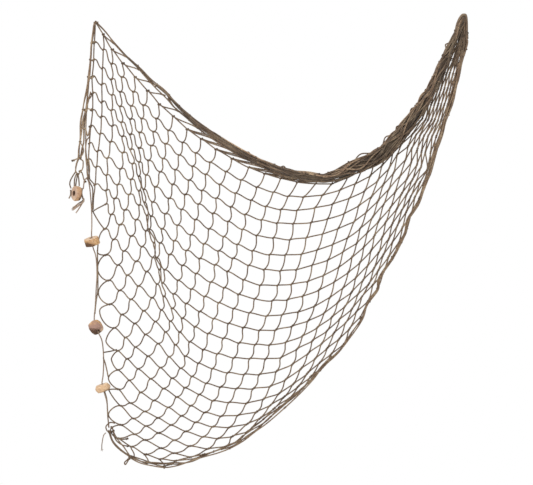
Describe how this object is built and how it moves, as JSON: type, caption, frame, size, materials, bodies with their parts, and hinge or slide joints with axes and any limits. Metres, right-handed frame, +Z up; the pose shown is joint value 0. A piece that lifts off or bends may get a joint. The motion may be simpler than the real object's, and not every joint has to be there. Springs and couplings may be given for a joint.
{
  "type": "fishing net",
  "caption": "Decorative knotted fishing net hung by two corners, gathered along its top into a swag, with a float line and cork floats.",
  "frame": {"origin": "the right hanging point, where the gathered corner hangs on a hook", "axes": "+Z up; +X to the viewer's right along the wall; +Y into the wall behind the net"},
  "size_m": [0.9578, 0.0501, 1.0869],
  "materials": {
    "net_twine": "matte twisted cotton twine",
    "line_twine": "matte twisted cotton cord",
    "tie_twine": "matte frayed cotton twine",
    "cork": "matte natural cork"
  },
  "bodies": {
    "root": {"net": "net_twine", "float_line": "line_twine", "float_1": "cork", "float_2": "cork", "float_3": "cork", "float_4": "cork", "corner_end": "tie_twine", "float_tail": "tie_twine"}
  },
  "joints": []
}
